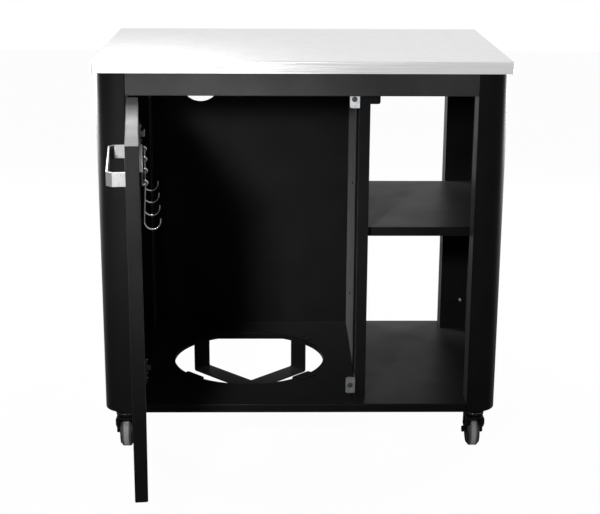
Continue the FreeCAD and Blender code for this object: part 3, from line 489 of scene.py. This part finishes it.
button_head = round_blank(BUTTON_RADIUS, BUTTON_HEIGHT, BUTTON_ROUNDING)
cut_with(button_head, bar_piece(HEXAGON, SOCKET_RADIUS, SOCKET_CUTTER, BUTTON_HEIGHT))
tab_places = [(x, y, TAB_TOP) for x in TAB_X for y in TAB_Y]
for count, place in enumerate(tab_places, 1):
    driven(button_head, "cradle_screw_%d" % count, place, (0, 0, 1), "cupboard",
           fork_black)
print("screws on the cradle:", len(tab_places))

# %% [markdown]
# Pan-head screws with a cross recess hold the hinges, the shelf's supports, the divider and the
# back panel.  The recess is two crossed slots.  Black ones sit on black sheets, and zinc ones on
# the hinges.

# %% Pan-head screws
PAN_RADIUS, PAN_HEIGHT, PAN_ROUNDING = 3.2, 1.8, 1.2
SLOT_LENGTH, SLOT_WIDTH, SLOT_MIDDLE, SLOT_CUTTER = 3.6, 0.8, 1.6, 1.4
BACK_Y, BACK_LEVELS = 544.07, (165, 375, 585, 790)
DIVIDER_X, SHELF_LEVEL = 131.5, 490


def cut_cross(head, length, width, middle, depth):
    """Cut two crossed slots, their middle at a height."""
    for along_x, along_y in ((length, width), (width, length)):
        bpy.ops.object.select_all(action="DESELECT")
        bpy.ops.mesh.primitive_cube_add(size=1, location=(0, 0, middle * MM),
                                        scale=(along_x * MM, along_y * MM, depth * MM))
        cut_with(head, bpy.context.object)


def drive_black(name, place, along):
    """Black pan head on the cupboard's sheets."""
    driven(pan_head, name, place, along, "cupboard", black_coat)


pan_head = round_blank(PAN_RADIUS, PAN_HEIGHT, PAN_ROUNDING)
cut_cross(pan_head, SLOT_LENGTH, SLOT_WIDTH, SLOT_MIDDLE, SLOT_CUTTER)
for side, x in (("left", -366), ("right", 137)):
    for count, z in enumerate(BACK_LEVELS, 1):
        drive_black("back_screw_%s_%d" % (side, count), (x, BACK_Y, z), (0, 1, 0))
for level, y, z in (("lower", 365.05, 255.77), ("upper", 322.1, 551.85)):
    drive_black("divider_screw_" + level, (DIVIDER_X, y, z), (-1, 0, 0))
for side, x, along in (("left", 150, 1), ("right", 444, -1)):
    for end, y in (("front", 90), ("rear", 420)):
        drive_black("shelf_screw_%s_%s" % (side, end), (x, y, SHELF_LEVEL), (along, 0, 0))

# %% [markdown]
# The hinge screws need the door's own axes, because the door stands open.  A point on the door is
# given by its distance from the hinge pins along the door, through its thickness, and up.

# %% Hinge screws
PIN_X, PIN_Y, OPEN_ANGLE = -371.5, -35.4304, math.radians(84.25)
LEAF_FACE, LEAF_RISES = -376.0, (-17, 17)
PLATE_FACE, PLATE_ALONG, PLATE_RISES = 24.5, 22, (-9, -21, 22)
door_along = Vector((math.cos(OPEN_ANGLE), -math.sin(OPEN_ANGLE), 0))
door_through = Vector((math.sin(OPEN_ANGLE), math.cos(OPEN_ANGLE), 0))
# The hinge screws take the zinc painted dark, which is painted shade.
for level, z in (("lower", 211), ("upper", 740)):
    for count, rise in enumerate(PLATE_RISES, 1):
        pins = Vector((PIN_X, PIN_Y, z + rise))
        place = pins + door_along * PLATE_ALONG + door_through * PLATE_FACE
        driven(pan_head, "hinge_door_screw_%s_%d" % (level, count), place, door_through, "door",
               hinge_zinc_painted_dark)
    for count, rise in enumerate(LEAF_RISES, 1):
        driven(pan_head, "hinge_cabinet_screw_%s_%d" % (level, count),
               (LEAF_FACE, 0, z + rise), (1, 0, 0), "cupboard", hinge_zinc_painted_dark)
print("door opened by", round(math.degrees(OPEN_ANGLE), 2), "degrees")

# %% [markdown]
# A countersunk screw holds each catch magnet, so that nothing stands in the shut door's way: only a
# quarter of a millimetre shows.  A button head with a washer sits low on the rear right column.

# %% Catch screws and the column's washer screw
FLAT_RADIUS, FLAT_HEIGHT, FLAT_ROUNDING = 2.4, 0.25, 0.1
FLAT_SLOT_LENGTH, FLAT_SLOT_WIDTH, FLAT_SLOT_CUTTER = 2.8, 0.6, 0.3
CATCH_X, MAGNET_FACE = 113, -14.53
WASHER_RADIUS, WASHER_THICK, WASHER_ROUNDING = 8, 1.2, 0.4
COLUMN_X, COLUMN_FACE, COLUMN_LEVEL = 429.6, 488.07, 197.1
flat_head = round_blank(FLAT_RADIUS, FLAT_HEIGHT, FLAT_ROUNDING)
cut_cross(flat_head, FLAT_SLOT_LENGTH, FLAT_SLOT_WIDTH, FLAT_HEIGHT, FLAT_SLOT_CUTTER)
for level, z in (("lower", 155.5), ("upper", 814.5)):
    driven(flat_head, "catch_screw_" + level, (CATCH_X, MAGNET_FACE, z), (0, -1, 0), "cupboard",
           magnet_black)
washer = round_blank(WASHER_RADIUS, WASHER_THICK, WASHER_ROUNDING)
driven(washer, "column_washer", (COLUMN_X, COLUMN_FACE, COLUMN_LEVEL), (0, -1, 0), "cupboard",
       fork_black)
driven(button_head, "column_screw", (COLUMN_X, COLUMN_FACE - WASHER_THICK, COLUMN_LEVEL),
       (0, -1, 0), "cupboard", zinc)
for source in (button_head, pan_head, flat_head, washer):
    bpy.data.objects.remove(source)
fasteners = [o for o in bpy.data.objects if "screw" in o.name or "washer" in o.name]
print("fasteners:", len(fasteners))

# %% [markdown]
# A near-black strip fills the corner between the divider and its post, so that a dark line runs
# down beside the post.  It is a block bevelled along its length, with a shallow channel pressed
# into the face that looks into the bay, and it runs between the two catches.

# %% Rubber strip beside the post
STRIP_LEFT, STRIP_RIGHT, STRIP_FRONT, STRIP_BACK = 119.3, 124.5, 12.5, 20.0
STRIP_LOW, STRIP_HIGH, STRIP_BEVEL, STRIP_CHANNEL = 176, 794, 1.2, 0.8


def pick_faces(piece, wanted):
    """In edit mode, select the faces that pass a test."""
    bpy.ops.mesh.select_mode(type="FACE")
    bpy.ops.mesh.select_all(action="DESELECT")
    mesh = bmesh.from_edit_mesh(piece.data)
    for face in mesh.faces:
        face.select_set(wanted(face))
    bmesh.update_edit_mesh(piece.data)


rubber = moulded("near_black_moulded_strip", "#050505", "#080808", 0.8, 1.5, 0.04, 0.03)
bpy.ops.object.select_all(action="DESELECT")
bpy.ops.mesh.primitive_cube_add(
    size=1, scale=((STRIP_RIGHT - STRIP_LEFT) * MM, (STRIP_BACK - STRIP_FRONT) * MM,
                   (STRIP_HIGH - STRIP_LOW) * MM),
    location=((STRIP_LEFT + STRIP_RIGHT) / 2 * MM, (STRIP_FRONT + STRIP_BACK) / 2 * MM,
              (STRIP_LOW + STRIP_HIGH) / 2 * MM))
strip = bpy.context.object
bpy.ops.object.transform_apply(location=True, rotation=False, scale=True)
pick_edges(strip, lambda corner: corner.x < (STRIP_LEFT + 0.1) * MM)
bpy.ops.mesh.bevel(offset=STRIP_BEVEL * MM, segments=3)
pick_faces(strip, lambda face: face.normal.x < -0.99)
bpy.ops.mesh.inset(thickness=STRIP_CHANNEL * MM, depth=-STRIP_CHANNEL * MM)
bpy.ops.object.mode_set(mode="OBJECT")
finished(strip, "post_rubber_strip", "cupboard", rubber)
print("rubber strip is", STRIP_HIGH - STRIP_LOW, "mm long")

# %% [markdown]
# Each caster's axle is a bolt with a hexagon head on one side and a nut on the other.  The frame
# has their round ends, so a thin hexagon collar goes round each.  It is a six-sided prism whose
# edges are all bevelled, as a forged nut's are.

# %% Axle nuts
AXLE_Z, NUT_RADIUS, NUT_THICK, NUT_BEVEL, NUT_FROM_WHEEL = 37.5, 8, 3.6, 0.7, 21.3
wheels = [(end + "_" + side, x, y) for end, y in (("front", 10.07), ("rear", 498.07))
          for side, x in (("left", -WHEEL_X), ("right", WHEEL_X))]


def drive_on_wheels(source, name, distance, body, material):
    """Copy of a piece on both sides of every wheel, facing out along its axle."""
    for corner, x, y in wheels:
        for side, out in (("outer", 1), ("inner", -1)):
            away = out * math.copysign(1, x)
            driven(source, "%s_%s_%s" % (name, corner, side), (x + away * distance, y, AXLE_Z),
                   (away, 0, 0), body + "_" + corner, material)
    bpy.data.objects.remove(source)


nut = bar_piece(HEXAGON, NUT_RADIUS, NUT_THICK)
pick_edges(nut, lambda corner: True)
bpy.ops.mesh.bevel(offset=NUT_BEVEL * MM, segments=2)
bpy.ops.object.mode_set(mode="OBJECT")
drive_on_wheels(nut, "axle_nut", NUT_FROM_WHEEL, "fork", fork_black)
print("axle nuts:", len(wheels) * 2)

# %% [markdown]
# Thread guards are dished discs on both sides of each wheel, which keep string and grass off the
# axle.  A disc is a short cylinder whose rim is rounded, whose outer face is inset and pushed in,
# and whose middle is bored out, so that it turns clear of the axle.

# %% Thread guards
GUARD_RADIUS, GUARD_BORE, GUARD_THICK, GUARD_FROM_WHEEL = 32, 9, 2.8, 12.8
GUARD_ROUNDING, GUARD_RIM, GUARD_SLOPE, GUARD_DISH = 0.8, 4, 3, 1
guard = round_blank(GUARD_RADIUS, GUARD_THICK, GUARD_ROUNDING)
bpy.ops.object.mode_set(mode="EDIT")
pick_faces(guard, lambda face: face.normal.z > 0.99 and face.calc_area() > (20 * MM) ** 2)
bpy.ops.mesh.inset(thickness=GUARD_RIM * MM, depth=0)
bpy.ops.mesh.inset(thickness=GUARD_SLOPE * MM, depth=-GUARD_DISH * MM)
bpy.ops.object.mode_set(mode="OBJECT")
cut_with(guard, bar_piece(ROUND_SIDES, GUARD_BORE, 4 * GUARD_THICK))
drive_on_wheels(guard, "thread_guard", GUARD_FROM_WHEEL - GUARD_THICK / 2, "wheel",
                hub_black)
print("thread guards:", len(wheels) * 2)

# %% [markdown]
# A pressed steel seal ring closes the race of balls in each caster's head.  Its section is a small
# square with soft corners, and spinning that round the kingpin gives the ring.

# %% Seal rings
HEAD_RADIUS, RING_SECTION, RING_ROUNDING = 21.7, 1.8, 0.5
RING_Z, KINGPIN_BACK = 92.5, -22
bpy.ops.object.select_all(action="DESELECT")
bpy.ops.mesh.primitive_plane_add(size=RING_SECTION * MM, location=(HEAD_RADIUS * MM, 0, 0),
                                 rotation=(math.pi / 2, 0, 0))
ring = bpy.context.object
bpy.ops.object.transform_apply(location=True, rotation=True, scale=False)
bpy.ops.object.mode_set(mode="EDIT")
bpy.ops.mesh.select_all(action="SELECT")
bpy.ops.mesh.bevel(offset=RING_ROUNDING * MM, segments=2, affect="VERTICES")
bpy.ops.mesh.select_all(action="SELECT")
bpy.ops.mesh.delete(type="ONLY_FACE")
bpy.ops.mesh.select_all(action="SELECT")
bpy.ops.mesh.spin(steps=48, angle=2 * math.pi, center=(0, 0, 0), axis=(0, 0, 1))
bpy.ops.mesh.select_all(action="SELECT")
bpy.ops.mesh.remove_doubles(threshold=0.01 * MM)
bpy.ops.mesh.normals_make_consistent(inside=False)
bpy.ops.object.mode_set(mode="OBJECT")
# The seal rings take the zinc painted dark, which is painted shade.
for corner, x, y in wheels:
    driven(ring, "seal_ring_" + corner, (x, y + KINGPIN_BACK, RING_Z), (0, 0, 1), "cupboard",
           hinge_zinc_painted_dark)
bpy.data.objects.remove(ring)
print("seal rings:", len(wheels))
